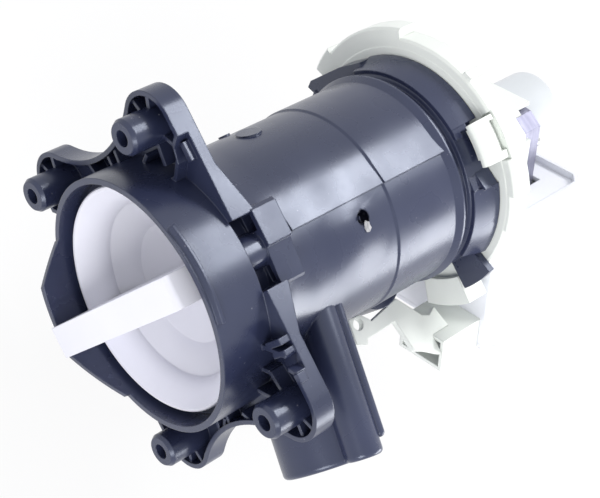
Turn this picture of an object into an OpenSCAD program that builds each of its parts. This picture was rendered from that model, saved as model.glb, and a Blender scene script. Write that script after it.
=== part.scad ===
// Drain pump of a washing machine: filter housing with its screw-out filter, and a synchronous
// motor pump behind it. Millimetres. X points to the outlets, Y runs along the pump axis from the
// filter opening to the motor, Z points up. The origin is the centre of the four mounting bosses,
// on the pump axis, in the plane of their front faces.

/* [Mounting] */
// Distance between the mounting holes across, along X
boss_pitch_x = 91; // [88:0.5:96]
// Distance between the mounting holes in height, along Z
boss_pitch_z = 63; // [58:0.5:68]
// Outside diameter of a mounting boss
boss_d = 11.4; // [10:0.1:13]
// Diameter of a mounting hole
boss_hole_d = 5.2; // [3:0.1:6]
// Depth of a mounting hole
boss_hole_depth = 14; // [8:0.5:15]

/* [Filter opening] */
// Inside diameter of the collar
collar_d = 80; // [79:0.2:82]
// Wall of the collar
collar_wall = 2; // [1.6:0.1:2.4]
// How far the rim of the collar stands in front of the bosses, on the axis
rim_front = 2.55; // [1:0.05:5]
// Lean of the rim, top forward, in degrees
rim_lean = 3.7; // [0:0.1:6]
// How far the drip lip stands in front of the bosses
lip_front = 8.7; // [5:0.1:12]
// Diameter of the filter cap
cap_d = 75; // [72:0.2:76.4]
// Depth of the cap's edge behind the boss faces
cap_y = 2.7; // [1:0.1:4]
// Width of the grip bar
grip_w = 10.5; // [7:0.1:13]
// How far the grip bar stands in front of the boss faces
grip_front = 11.5; // [8:0.1:14]
// Turn that frees the cap, in degrees
cap_turn = 90; // [60:5:100]
// How far the cap comes forward in that turn
cap_lift = 4; // [2:0.2:5]

/* [Flange] */
// Front edge of the ribbed flange, behind the boss faces
flange_y = 10; // [8:0.5:12]
// Depth of the ribbed flange
flange_depth = 7.5; // [6:0.1:9]
// Radius of the flange round each boss
lobe_r = 11.2; // [9.5:0.1:13]
// Wall and rib thickness of the flange
rib_t = 1.3; // [1:0.1:2]

/* [Chamber] */
// Outside diameter of the filter chamber
body_d = 71; // [70.6:0.1:72]
// Wall of the filter chamber
body_wall = 2.1; // [1.8:0.1:2.4]
// Where the pump chamber's joint ring stands
joint_y = 76; // [72:0.5:78]
// Rear end of the moulded body, where the motor cover sits
rear_y = 120; // [118:0.5:122]
// Partition between the filter chamber and the pump chamber
partition_y = 84; // [82:0.5:85]
// Diameter of the pump inlet in the partition
inlet_d = 24; // [18:0.5:30]

/* [Outlets] */
// Outside diameter of the large outlet
outlet_d = 32; // [28:0.2:33]
// Wall of the large outlet
outlet_wall = 2.5; // [2:0.1:3]
// Reach of the outlets from the pump axis
outlet_reach = 74.3; // [66:0.1:80]
// Where the outlets leave the pump axis
outlet_y = 48.5; // [46:0.5:52]
// Forward lean of the outlets in degrees
outlet_lean = 10; // [6:0.5:12]
// Outside diameter of the small vent tube
vent_d = 12.4; // [11:0.1:13]
// Bore of the small vent tube
vent_bore = 8; // [5:0.1:9]
// Height of the vent tube's axis over the outlet's
vent_z = 18; // [17:0.1:20]
// Outside diameter of the discharge spigot under the pump chamber
spigot_d = 20.8; // [20:0.2:22]
// Bore of the discharge spigot
spigot_bore = 17.2; // [14:0.2:17.6]
// How far the discharge spigot reaches below the axis
spigot_reach = 62; // [56:0.5:66]

/* [Motor] */
// Outside diameter of the rotor can
can_d = 25; // [24:0.1:25.8]
// Wall of the rotor can
can_wall = 1; // [0.8:0.1:1.2]
// Closed end of the rotor can
can_end_y = 188; // [186.5:0.5:196]
// Diameter of the rotor shaft
shaft_d = 4; // [3:0.1:5]
// Diameter of the rotor magnet
magnet_d = 21.6; // [19:0.1:22]
// Length of the rotor magnet
magnet_len = 35; // [28:0.5:37]
// Turn of the stator about the pump axis in degrees
stator_turn = 43; // [35:1:50]
// Stack height of the laminations
stack_h = 24; // [20:0.5:25]
// Rear face of the laminations
stack_rear_y = 165; // [163:0.5:167]
// Width of the laminated core
core_w = 41.2; // [40:0.2:42]
// Length of the core behind the rotor axis
core_len = 64; // [62:0.5:65]
// Width over the coil housing
coil_box_w = 71; // [70:0.5:73]
// Outside diameter of the motor cover's ring
cover_d = 99; // [97:0.5:101]
// Angle that the catch can lift, in degrees
catch_lift = 8; // [4:1:9]

/* [Impeller] */
// Diameter of the impeller
impeller_d = 54; // [46:0.5:58]
// Number of impeller blades
blade_count = 6; // [4:1:8]
// Free turn between the drive dog and the impeller, in degrees
dog_play = 200; // [120:10:210]

/* [Hidden] */
$fn = 96;
navy = [0.17, 0.19, 0.28];
pale = [0.86, 0.88, 0.86];
cream = [0.93, 0.93, 0.96];
steel = [0.72, 0.74, 0.78];
rubber = [0.12, 0.12, 0.13];
lamination = [0.62, 0.60, 0.70];
copper = [0.78, 0.42, 0.2];
bronze = [0.6, 0.45, 0.25];
magnet_black = [0.15, 0.15, 0.16];

// Small clearances and shared places
slip = 0.3;
running = 0.05;
collar_r = collar_d / 2;
collar_out = collar_r + collar_wall;
body_r = body_d / 2;
chamber_r = body_r - body_wall;
cap_r = cap_d / 2;
flange_rear = flange_y + flange_depth;
seat_y = cap_y + 4.3;
seat_t = 2.5;

// Turned solid about the pump axis: radius first, then the place along the axis
module spin_y() rotate([-90, 0, 0]) rotate_extrude() children();
// Turned sector from angle a0 to a1, measured from +X towards +Z
module arc_y(a0, a1) rotate([-90, 0, 0]) rotate([0, 0, -a1]) rotate_extrude(angle = a1 - a0) children();
// Flat outline in X and Z, thick along the pump axis
module slab_y(y0, y1) translate([0, y1, 0]) rotate([90, 0, 0]) linear_extrude(y1 - y0) children();
// Round bar along the pump axis
module rod_y(y0, y1, d) translate([0, y0, 0]) rotate([-90, 0, 0]) cylinder(h = y1 - y0, d = d);
// Straight rib in an X and Z outline
module strip(a, b, t) {
    run = b - a;
    translate(a) rotate(atan2(run[1], run[0])) translate([0, -t / 2]) square([norm(run), t]);
}
function bow(cx, cy, r, a0, a1, n = 6) =
    [for (i = [0 : n]) let (a = a0 + (a1 - a0) * i / n) [cx + r * cos(a), cy + r * sin(a)]];
function polar(r, a) = [r * cos(a), r * sin(a)];
module motor_turn() rotate([0, stator_turn, 0]) children();

// Ribbed mounting flange

boss_x = boss_pitch_x / 2;
boss_z = boss_pitch_z / 2;
saddle_x = boss_x + 1;
saddle_r = (boss_z * boss_z + 1 - lobe_r * lobe_r) / (2 * (lobe_r - 1));
saddle_c = saddle_x + saddle_r;
wall_t = 1.6;
web_t = 1.6;

module each_boss() for (sx = [-1, 1], sz = [-1, 1]) translate([sx * boss_x, sz * boss_z]) children();

// Outline of both ears, drawn in by inset to make the inside of its wall
module ear_outline(inset = 0) difference() {
    union() {
        each_boss() circle(lobe_r - inset);
        square([2 * boss_x, 2 * (boss_z + lobe_r - inset)], center = true);
        for (s = [-1, 1]) translate([s * (boss_x + 4), 0])
            square([2 * (lobe_r - inset) - 4, 2 * boss_z - 14], center = true);
    }
    for (s = [-1, 1]) translate([s * saddle_c, 0]) circle(saddle_r + inset);
}

// The flange is raised at its two sides; between them it is a lower, solid plate
raised_right = [[25.4, 33.6], [30.4, 42], [33.6, 39.6], [36.4, 42.75], [60, 42.75]];
raised_left = [[-28, 31.6], [-32, 36.6], [-36.3, 38.2], [-39, 42.75], [-60, 42.75]];
function mirrored(points) = [for (i = [len(points) - 1 : -1 : 0]) [points[i][0], -points[i][1]]];
module raised_area(shift = 0) {
    translate([shift, 0]) polygon(concat(raised_right, mirrored(raised_right)));
    translate([-shift, 0]) polygon(concat(raised_left, mirrored(raised_left)));
}

// Ribs that join the bosses, the outer wall and the collar
rib_angles_right = [30, -10];
rib_angles_left = [150, 198];
saddle_rib_angles = [-5, -13.5, 171, 177, 192];
ribs_right = [[[0, 0], [33.9, 29.4], [32.3, 26.3]], [[0, 0], [40.6, 23.2], [37.9, 19.2]], [[47.7, 9.1], [43.3, 5.3]]];
ribs_left = [[[0, 0], [-36, 38.5]], [[0, 0], [-33.5, 28.6]], [[-39, 22.4], [-37.5, 18.9]]];
module bent_rib(points, boss) for (i = [0 : len(points) - 2])
    strip(points[i] == [0, 0] ? boss : points[i], points[i + 1], rib_t);
module ear_ribs() {
    for (side = [0, 1]) mirror([0, side]) {
        for (a = rib_angles_right) strip([boss_x, boss_z], [boss_x, boss_z] + polar(lobe_r, a), rib_t);
        for (a = rib_angles_left) strip([-boss_x, boss_z], [-boss_x, boss_z] + polar(lobe_r, a), rib_t);
        for (points = ribs_right) bent_rib(points, [boss_x, boss_z]);
        for (points = ribs_left) bent_rib(points, [-boss_x, boss_z]);
    }
    for (a = saddle_rib_angles) strip(polar(collar_r, a), polar(collar_r + 8, a), rib_t);
}

plate_y = 13.8;
ear_top = boss_z + lobe_r;
module flange() {
    // lower plate above and below the collar
    slab_y(plate_y, flange_rear) difference() {
        ear_outline();
        raised_area(1);
        circle(collar_r + 1);
    }
    // raised sides: outer wall, rear web and ribs
    slab_y(flange_y, flange_rear) difference() {
        intersection() {
            ear_outline();
            raised_area();
        }
        intersection() {
            ear_outline(wall_t);
            raised_area(wall_t);
        }
        circle(collar_r + 1);
    }
    slab_y(flange_rear - web_t, flange_rear) difference() {
        ear_outline();
        circle(collar_r + 1);
    }
    slab_y(flange_y + 0.8, flange_rear) difference() {
        intersection() {
            ear_ribs();
            ear_outline();
            raised_area();
        }
        circle(collar_r + 1);
    }
    // gusset plates that run back to the clip block
    translate([0, 0, ear_top - 1.5]) linear_extrude(1.5) polygon([[-36, plate_y + 0.6], [-27.6, flange_rear], [-11.8, 22.2],
        [12.6, 22], [27, flange_rear], [31, plate_y + 0.6]]);
    // small catches for the hose and the cable on both ears
    translate([-37, flange_y + 1.6, ear_top - 3.4]) cube([6, 3, 1.8]);
    translate([36.6, flange_y - 0.5, ear_top - 1]) cube([3, 3, 2]);
    translate([25.4, flange_y, 35]) cube([2, 5, ear_top - 35.4]);
    translate([29, flange_y, 36]) cube([1.6, 5, ear_top - 36.4]);
    // bosses
    rotate([-90, 0, 0]) mirror([0, 1, 0]) each_boss() {
        cylinder(h = 1.2, d1 = boss_d - 1.6, d2 = boss_d);
        translate([0, 0, 1.2]) cylinder(h = flange_rear - 1.2, d = boss_d);
    }
}

module boss_holes() rotate([-90, 0, 0]) mirror([0, 1, 0]) each_boss() {
    translate([0, 0, -1]) cylinder(h = boss_hole_depth + 1, d = boss_hole_d);
}

// Collar with its leaning rim and the drip lip

collar_rear = flange_rear;
lip_half = [18.3, 5.7];
module collar_tube(r0, r1) spin_y() translate([r0, -20]) square([r1 - r0, 20 + collar_rear]);
module rim_cutter() translate([0, -rim_front, 0]) rotate([rim_lean, 0, 0])
    translate([-60, -40, -60]) cube([120, 40, 120]);
module lip_shape() translate([0, 0, -collar_out - 2]) linear_extrude(30)
    polygon([[-29.5, -1], [-lip_half[0], -lip_front], [lip_half[1], -lip_front], [24.7, -1.5], [24.7, 4], [-29.5, 4]]);
module collar() {
    difference() {
        collar_tube(collar_r, collar_out);
        rim_cutter();
    }
    intersection() {
        collar_tube(collar_r, collar_out);
        lip_shape();
    }
    // thin outer rib just behind the rim, on top
    arc_y(71, 113) polygon([[collar_out - 0.5, -4.6], [collar_out + 1.6, -3.6], [collar_out + 1.6, -2.6],
        [collar_out - 0.5, -2.2]]);
}

// Body of revolution: seat, filter chamber and pump chamber

neck_y = 28;
pump_r = body_r + 0.5;
flare_y = rear_y - 15;
flare_r = 37.5;
groove_r = 35.2;
volute_r = 33;
partition_t = 3;
volute_y = partition_y + partition_t;
rear_bore_r = 33.8;
rear_flange_y = rear_y - 7.6;
rear_lip_r = 36.4;
module body_outer() spin_y() polygon([[0, seat_y], [collar_out - 1, seat_y], [collar_out - 1, seat_y + seat_t],
    [body_r + 0.9, seat_y + seat_t], [body_r + 0.9, neck_y], [body_r + 0.1, neck_y + 3],
    [body_r, joint_y - 0.8], [body_r + 0.5, joint_y], [pump_r, flare_y - 2.4], [flare_r, flare_y],
    [flare_r, flare_y + 0.8], [groove_r, flare_y + 1.7], [groove_r, flare_y + 4.2],
    [rear_lip_r, flare_y + 4.8], [rear_lip_r, rear_y], [0, rear_y]]);
module body_inner() {
    spin_y() polygon([[0, seat_y - 1], [chamber_r + 0.8, seat_y - 1], [chamber_r, seat_y + 0.4],
        [chamber_r, partition_y], [inlet_d / 2, partition_y], [inlet_d / 2 - 1, volute_y], [volute_r, volute_y],
        [volute_r, rear_flange_y], [rear_bore_r, rear_flange_y + 0.6], [rear_bore_r, rear_y + 1], [0, rear_y + 1]]);
}

// Flat chord along the top left of the body, with the parting edge at its right end
chord_y0 = neck_y + 8;
chord_y1 = flare_y - 0.6;
seam_step = 0.9;
// flat that runs off the round body without an edge and ends in a step at the seam
module seam_flat(r, y0, y1) {
    turn = acos(r / (r + seam_step));
    slab_y(y0, y1) polygon([[0, r + seam_step], [-r * sin(turn), r * cos(turn)], [-r * sin(turn) + 1, r - 5], [0, r - 6]]);
}
module parting_flat() {
    seam_flat(body_r, chord_y0, joint_y - 0.1);
    seam_flat(pump_r, joint_y - 0.2, chord_y1);
}

// Two turning lugs on the cap run in these grooves and come out at their far ends
lug_w = 18;
lug_t = 3.2;
lug_out = 1.2;
lug_y = seat_y + 8;
channel_r = chamber_r + lug_out + slip;
module lug_channels() for (side = [0, 180]) {
    arc_y(side - lug_w / 2 - 2, side + cap_turn + lug_w / 2 + 2)
        translate([chamber_r - 1, lug_y - 0.8 - cap_lift]) square([channel_r - chamber_r + 1, lug_t + 1.6 + cap_lift]);
    arc_y(side + cap_turn - lug_w / 2 - 1, side + cap_turn + lug_w / 2 + 1)
        translate([chamber_r - 1, seat_y - 1]) square([channel_r - chamber_r + 0.8, lug_y - seat_y]);
}

// Outlets on the right

outlet_r = outlet_d / 2;
end_round = 1.6;
module outlet_frame() translate([0, outlet_y, 0]) rotate([0, 0, -outlet_lean]) rotate([0, 90, 0]) children();
module round_ended(r, len) rotate_extrude()
    polygon(concat([[0, 0], [r, 0]], bow(r - end_round, len - end_round, end_round, 0, 90), [[0, len]]));
module round_bar(r, len) rotate_extrude() polygon(concat([[0, 0], [r, 0]], bow(0, len - r, r, 0, 90)));
module outlets_outer() {
    outlet_frame() round_ended(outlet_r, outlet_reach);
    // small vent tube over it, with a web between the two and a thin rib on its rear side
    outlet_frame() translate([-vent_z, 0, 0]) round_ended(vent_d / 2, outlet_reach);
    outlet_frame() translate([-vent_z, -vent_d / 2 + 0.6, 20]) cube([vent_z, vent_d - 1.2, outlet_reach - 22]);
    outlet_frame() translate([-vent_z - 3.3, vent_d / 2 - 0.3, 20]) round_bar(1.6, outlet_reach - 24.6);
}
module outlets_inner() {
    outlet_frame() translate([0, 0, 20]) cylinder(h = outlet_reach, r = outlet_r - outlet_wall);
    outlet_frame() translate([-vent_z, 0, 20]) cylinder(h = outlet_reach, d = vent_bore);
}

// Discharge spigot, straight down from the right side of the pump chamber
spigot_x = 29.5;
spigot_y = volute_y + spigot_d / 2 + 0.1;
spigot_top = 18;
spigot_seat = 36;
module spigot_outer() translate([spigot_x, spigot_y, 0]) mirror([0, 0, 1]) {
    translate([0, 0, spigot_top + 1]) cylinder(h = spigot_reach - spigot_top - 1, d = spigot_d);
    // thicker root that the hose meets
    translate([0, 0, spigot_top]) cylinder(h = spigot_seat - spigot_top, d = spigot_d + 1.2);
}
module spigot_inner() translate([spigot_x, spigot_y, 0]) mirror([0, 0, 1])
    translate([0, 0, spigot_top + 2]) cylinder(h = spigot_reach, d = spigot_bore);

// Clip block on top of the flange

clip_x0 = -12;
clip_x1 = 13;
clip_top = 43.2;
clip_front = flange_rear + 3.6;
clip_rear = clip_front + 9.4;
pocket_w = 5.2;
module clip_notch() translate([clip_x0 + 1.4, plate_y, body_r + 1.5])
    cube([clip_x1 - clip_x0 - 2.8, clip_front - plate_y + 4, 20]);
module clip_block() difference() {
    union() {
        slab_y(clip_front, clip_rear) polygon([[clip_x0, body_r - 4], [clip_x0, 42], [clip_x0 + 1.2, clip_top],
            [0.4, clip_top], [0.8, clip_top - 1.4], [clip_x1 - 0.8, 40.4], [clip_x1, 39.4], [clip_x1, body_r - 4]]);
        // round nose in the middle of the front face
        slab_y(plate_y - 0.6, clip_front + 0.1) intersection() {
            translate([0, 36]) circle(5.6);
            translate([-6, 30]) square([12, 11.4]);
        }
        // side cheeks down to the flange
        for (x = [clip_x0, clip_x1 - 1.4]) translate([x, plate_y, body_r - 4])
            cube([1.4, clip_front - plate_y + 0.1, x < 0 ? ear_top - body_r + 4 : 8.6]);
    }
    for (x = [-7.6, 8.2]) translate([x - pocket_w / 2, plate_y, body_r + 1.4])
        cube([pocket_w, clip_rear - plate_y - 2.5, x < 0 ? 4.4 : 2]);
    translate([0, flange_y - 1, 35.6]) rotate([-90, 0, 0]) cylinder(h = 6, d = 3);
}

// Rear flange: four bayonet lobes, a stop tab and a small side tab

// the two lobes in front stand on a cone that starts near the groove; the two behind are short
lobe_spans = [[97.4, 170], [23, 64.5], [-70, -26], [-142, -100]];
lobe_starts = [rear_y - 10, rear_y - 10, rear_flange_y, rear_flange_y];
lobe_front_r = 37.9;
bayonet_r = 40.2;
// stepped tongue at the right end of the first lobe: end angle, rear end
tongue = [[92.2, rear_y - 7.4], [94.8, rear_y - 4.6], [97.6, rear_y - 2.2]];
stop_span = [0.5, 19.5];
stop_r = 46.6;
module rear_flange() {
    root_r = rear_lip_r - 1;
    for (i = [0 : 3]) arc_y(lobe_spans[i][0], lobe_spans[i][1])
        polygon([[root_r, lobe_starts[i]], [lobe_front_r, lobe_starts[i]], [bayonet_r - 0.4, rear_y - 3],
            [bayonet_r, rear_y - 0.8], [bayonet_r, rear_y], [root_r, rear_y]]);
    for (i = [0 : 1]) arc_y(tongue[i][0], tongue[i + 1][0] + 0.1) polygon([[root_r - 0.1 * i, lobe_starts[0] + 0.1 * i],
        [lobe_front_r - 0.1 * (2 - i), lobe_starts[0] + 0.1 * i], [lobe_front_r + 0.6 + 0.8 * i, tongue[i][1]],
        [root_r - 0.1 * i, tongue[i][1]]]);
    // the first lobe runs on to the side tab with a straight edge
    slab_y(rear_y - 7, rear_y - 0.1) polygon([polar(root_r, 168), polar(bayonet_r - 0.3, 168), polar(bayonet_r + 1, 184),
        polar(stop_r - 0.2, 205), polar(stop_r - 0.2, 209), polar(root_r, 209), polar(root_r - 0.6, 190)]);
    // ramp at the upper end of the second lobe
    slab_y(rear_y - 6.4, rear_y - 0.1) polygon([polar(root_r, 60), polar(bayonet_r - 0.3, 64.2), polar(rear_lip_r + 0.1, 72.5),
        polar(root_r, 72)]);
    slab_y(rear_y - 9.8, rear_y - 6.2) polygon([polar(root_r, 60), polar(lobe_front_r + 0.2, 64.2),
        polar(rear_lip_r + 0.1, 71.5), polar(root_r, 71)]);
    arc_y(stop_span[0], stop_span[1]) translate([root_r, rear_y - 2.6]) square([stop_r - root_r, 2.6]);
    arc_y(-153, -144) polygon([[root_r, rear_flange_y], [43, rear_flange_y], [47.6, rear_y], [root_r, rear_y]]);
}

// Small moulding marks: gate nub, round test mark and a bump
module marks() {
    rotate([0, 10.4, 0]) translate([0, 63.4, body_r - 2]) cylinder(h = 2.9, d = 4.4);
    rotate([0, -67, 0]) translate([0, 54, body_r - 1]) cylinder(h = 1.5, d = 8.6);
    rotate([0, -87, 0]) translate([0, 53.5, body_r - 1]) cylinder(h = 1.6, d = 4);
}

module filter_housing() color(navy) difference() {
    union() {
        difference() {
            union() {
                collar();
                flange();
            }
            clip_notch();
        }
        body_outer();
        parting_flat();
        outlets_outer();
        spigot_outer();
        clip_block();
        rear_flange();
        marks();
    }
    body_inner();
    lug_channels();
    difference() {
        union() {
            outlets_inner();
            spigot_inner();
        }
        spin_y() translate([0, seat_y]) square([chamber_r - 1, volute_y - seat_y]);
        rod_y(volute_y - 1, rear_y, 2 * volute_r - 4);
    }
    boss_holes();
}

// Filter cap: dished face, skirt with the seal groove, two lugs and the grip bar

skirt_r = chamber_r - 0.4;
skirt_rear = seat_y + 15;
dish_floor = cap_y + 13.3;
seal_y = seat_y + 3.6;
groove_bottom = skirt_r - 2.05;
seal_r = (chamber_r - groove_bottom) / 2 - running;
cavity_r = skirt_r - 4.6;
module cap_disc() spin_y() polygon([[0, dish_floor], [20, dish_floor], [22, dish_floor - 1.4],
    [29.2, cap_y + 8.4], [29.6, cap_y + 7], [cap_r - 1.1, cap_y - 0.3], [cap_r - 0.4, cap_y - 0.3],
    [cap_r, cap_y + 0.2], [cap_r, seat_y - slip], [skirt_r, seat_y - slip],
    [skirt_r, seal_y - 1.6], [groove_bottom, seal_y - 1.6], [groove_bottom, seal_y + 1.6], [skirt_r, seal_y + 1.6],
    [skirt_r, skirt_rear], [cavity_r, skirt_rear], [cavity_r, dish_floor - 2.4], [21.4, dish_floor + 1.2],
    [20, dish_floor + 2.6], [0, dish_floor + 2.6]]);
module grip_bar() {
    end_z = cap_r - 1.2;
    low_z = collar_r - 0.6;
    difference() {
        translate([-grip_w / 2, 0, 0]) rotate([90, 0, 90]) linear_extrude(grip_w)
            polygon(concat([[dish_floor + 1, 18], [dish_floor + 1, -18], [cap_y + 0.5, -end_z], [cap_y - 2.5, -low_z]],
                bow(-grip_front + 1.4, -low_z + 1.4, 1.4, 270, 180), bow(-grip_front + 2.2, end_z - 2.2, 2.2, 180, 90),
                [[cap_y + 0.5, end_z]]));
        // the bar is a hollow channel seen from behind
        translate([0, 0, 0]) rotate([90, 0, 0]) translate([0, 0, -dish_floor - 3])
            linear_extrude(dish_floor + 3 - 0.5) square([grip_w - 3.6, 26], center = true);
    }
}
module cap_lugs() for (side = [0, 180]) arc_y(side - lug_w / 2, side + lug_w / 2)
    translate([skirt_r - 0.5, lug_y]) square([lug_out + 0.5 + 0.4 - slip, lug_t]);
module filter_cap() color(cream) {
    cap_disc();
    grip_bar();
    cap_lugs();
}

module cap_seal() color(rubber) spin_y() translate([groove_bottom + running + seal_r, seal_y]) circle(seal_r, $fn = 32);

// Filter basket: a cage that hangs on the back of the cap

basket_r = cavity_r - slip;
basket_t = 2.2;
basket_front = dish_floor + 2.6;
basket_rear = partition_y - 5;
cage_r = basket_r - 1.4;
stave_count = 14;
hoop_gap = 13;
module filter_basket() color(cream) {
    spin_y() polygon([[cage_r - basket_t, basket_front], [cage_r, basket_front], [basket_r, skirt_rear - 4],
        [basket_r, skirt_rear + 2.5], [cage_r - basket_t, skirt_rear + 2.5]]);
    for (i = [0 : stave_count - 1]) rotate([0, i * 360 / stave_count, 0])
        translate([cage_r - basket_t, skirt_rear, -1.1]) cube([basket_t, basket_rear - skirt_rear, 2.2]);
    for (y = [skirt_rear + hoop_gap : hoop_gap : basket_rear - 4])
        spin_y() translate([cage_r - basket_t, y]) square([basket_t + 0.4, 2]);
    difference() {
        spin_y() translate([0, basket_rear - 2.4]) square([cage_r + 0.4, 2.4]);
        for (ring = [1 : 3], i = [0 : 6 * ring - 1]) rotate([0, i * 60 / ring, 0])
            translate([ring * 7, 0, 0]) rod_y(basket_rear - 4, basket_rear + 1, 4.6);
    }
}

// Motor cover: the white ring and plate that close the pump chamber

cover_r = cover_d / 2;
cover_floor = rear_y + slip;
floor_t = 2.6;
ring_rear = rear_y + 8;
ring_t = 3.2;
plug_r = rear_bore_r - 0.4;
plug_front = rear_flange_y + 0.8;
plug_t = 2.5;
plug_groove_y = rear_y - 3;
plug_groove_r = rear_bore_r - 1.95;
tower_r = 16.7;
core_front = stack_rear_y - stack_h;
bearing_r = 6.1;
mount_r = can_d / 2 - can_wall - 0.1;
front_bearing_y = plug_front + plug_t + 1;
bearing_len = 7;
can_flange_y = front_bearing_y + bearing_len + 1.2;
screw_n = 17.2;
core_half = core_w / 2;
core_tip = -13;
shell_rear = stack_rear_y - 7.5;
shell_end = 16;
// rim of the cover: start angle, end angle, radius
rim_base_r = 43.4;
rim_steps = [[40, 59, 44.6], [58, 151, 46.2], [150, 196, cover_r], [195, 207, cover_r + 2], [205, 359, 46]];
// each stretch of the rim stands a little behind the one before it
module rim_section(r, i) {
    front = cover_floor + 0.12 + 0.08 * i;
    rear = ring_rear + 0.2 + 0.1 * i;
    inner = front + floor_t - 0.3;
    polygon([[rim_base_r - 1.2, front], [r - 0.8, front], [r, front + 0.8], [r, rear], [r - ring_t, rear],
        [r - ring_t, inner], [rim_base_r - 1.2, inner]]);
}
// flat outline round the tips of the laminated core
module tip_outline(grow, end) polygon([[core_tip - grow, core_half - 5], [core_tip + 4.6 - grow / 2, core_half + grow],
    [end, core_half + grow], [end, -core_half - grow], [core_tip + 4.6 - grow / 2, -core_half - grow],
    [core_tip - grow, -core_half + 5]]);
claw_angles = [-48, -121];
module pump_cover() color(pale) difference() {
    union() {
        // cup that enters the housing, with its seal groove, and the plate
        spin_y() polygon([[0, plug_front], [plug_r - 1, plug_front], [plug_r, plug_front + 1],
            [plug_r, plug_groove_y - 1.1], [plug_groove_r, plug_groove_y - 1.1], [plug_groove_r, plug_groove_y + 1.1],
            [plug_r, plug_groove_y + 1.1], [plug_r, cover_floor], [rim_base_r - 0.8, cover_floor],
            [rim_base_r, cover_floor + 0.8], [rim_base_r, ring_rear], [rim_base_r - ring_t, ring_rear],
            [rim_base_r - ring_t, cover_floor + floor_t], [plug_r - 3, cover_floor + floor_t], [plug_r - 3, plug_front + plug_t], [0, plug_front + plug_t]]);
        // stepped rim
        for (i = [0 : len(rim_steps) - 1]) arc_y(rim_steps[i][0], rim_steps[i][1]) rim_section(rim_steps[i][2], i);
        arc_y(111, 115) translate([44, cover_floor + 1]) square([3.6, 6]);
        // block at the lower right that carries the cable bracket
        arc_y(-25, -2) translate([42, cover_floor - 2]) square([10.2, ring_rear - cover_floor + 1.6]);
        // claws over the hidden lobes of the housing
        for (a = claw_angles) arc_y(a - 7, a + 7) polygon([[40.6, cover_floor + 1], [43, cover_floor + 1],
            [43, rear_flange_y - 2.6], [37.4, rear_flange_y - 2.6], [37.4, rear_flange_y - slip],
            [40.6, rear_flange_y - slip]]);
        // tower for the rotor can, and the seat of the stator
        rod_y(plug_front + 1, core_front - 0.6, 2 * tower_r);
        motor_turn() slab_y(plug_front + plug_t - 0.4, core_front) tip_outline(1.9, shell_end);
        motor_turn() slab_y(core_front - 0.1, shell_rear) difference() {
            tip_outline(1.9, shell_end);
            tip_outline(slip, shell_end + 1);
        }
        motor_turn() slab_y(shell_rear - 0.2, stack_rear_y + 0.4) translate([core_tip - 1.9, -core_half + 6.4])
            square([1.5, 2 * core_half - 12.8]);
        for (a = [20 : 40 : 340]) rotate([0, -a, 0]) translate([tower_r - 2, cover_floor + 0.5, -0.9])
            cube([43 - tower_r, 4.6, 1.8]);
    }
    // the wall stands back at the upper corner of the core
    motor_turn() translate([core_tip - 0.6, shell_rear - 3.2, core_half - 5.3]) cube([7.4, 5, 8]);
    // shallow seat for the rear edge of the catch
    arc_y(catch_span[0] - 1, catch_span[1] + 1) translate([catch_in - 0.6, cover_floor - 1]) square([20, 2.6]);
    // seats for the bearing and the rotor can, from behind
    rod_y(front_bearing_y - 0.6, core_front + 1, 2 * mount_r + 0.2);
    rod_y(plug_front - 1, core_front + 1, 9);
    rod_y(can_flange_y, core_front + 1, 2 * can_flange_r + 0.4);
    motor_turn() for (n = [-1, 1]) translate([0, 0, n * screw_n]) rod_y(core_front - 12, core_front + 1, 2.6);
}

// Seal between cover and housing
module cover_seal() color(rubber) spin_y() translate([rear_bore_r - 0.2 - 0.95 + 0.15, 0])
    translate([0, rear_y - 3]) circle(0.9, $fn = 32);

// Catch that holds the cover against turning; its nose stands between two lobes of the housing

catch_span = [76, 95.4];
catch_in = 42.6;
catch_out = 44.6;
catch_front = rear_y - 8.4;
catch_rear = cover_floor + 1.2;
module lock_catch() color(pale) difference() {
    union() {
        arc_y(catch_span[0], catch_span[1]) polygon([[catch_in, catch_front], [catch_out - 0.8, catch_front],
            [catch_out, catch_front + 1], [catch_out + 1, catch_rear - 0.6], [catch_out + 1, catch_rear], [catch_in, catch_rear]]);
        arc_y(catch_span[0] + 2, catch_span[1] - 1.4) translate([37.8, catch_front + 3.8]) square([6, 2.4]);
    }
    // shallow step along the rear of its outer face
    arc_y(79.5, 93) translate([catch_out - 0.9, catch_rear - 2.2]) square([8, 3]);
}

// Impeller with straight blades, and its lost-motion drive

impeller_rear = plug_front - 1.2;
impeller_r = impeller_d / 2;
hub_r = 9.4;
hub_cavity_r = 7.8;
hub_front = volute_y + 3;
hub_rear = impeller_rear;
dog_w = 55;
bumper_w = 22;
key_w = 360 - dog_w - bumper_w - dog_play - 6;
cavity_front = hub_front + 4.5;
shaft_r = shaft_d / 2;
journal_r = 3.1;
module impeller() color(cream) difference() {
    union() {
        spin_y() polygon(concat([[0, hub_front]], bow(hub_r - 3, hub_front + 3, 3, 270, 360), [[hub_r, hub_rear], [0, hub_rear]]));
        spin_y() translate([hub_r - 1, hub_rear - 1.8]) square([impeller_r - hub_r + 1, 1.8]);
        for (i = [0 : blade_count - 1]) rotate([0, i * 360 / blade_count, 0])
            translate([hub_r - 1, hub_front + 4, -0.9]) cube([impeller_r - hub_r, hub_rear - hub_front - 4.5, 1.8]);
    }
    // cavity for the dog, open to the rear, less the key
    difference() {
        rod_y(cavity_front, hub_rear + 1, 2 * hub_cavity_r);
        arc_y(dog_w / 2 + bumper_w + 2, dog_w / 2 + bumper_w + 2 + key_w) translate([journal_r + 0.3, cavity_front - 1])
            square([hub_cavity_r - journal_r, hub_rear - cavity_front - 1]);
    }
    rod_y(cavity_front - 3, cavity_front + 1, shaft_d + 2 * running);
}
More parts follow.
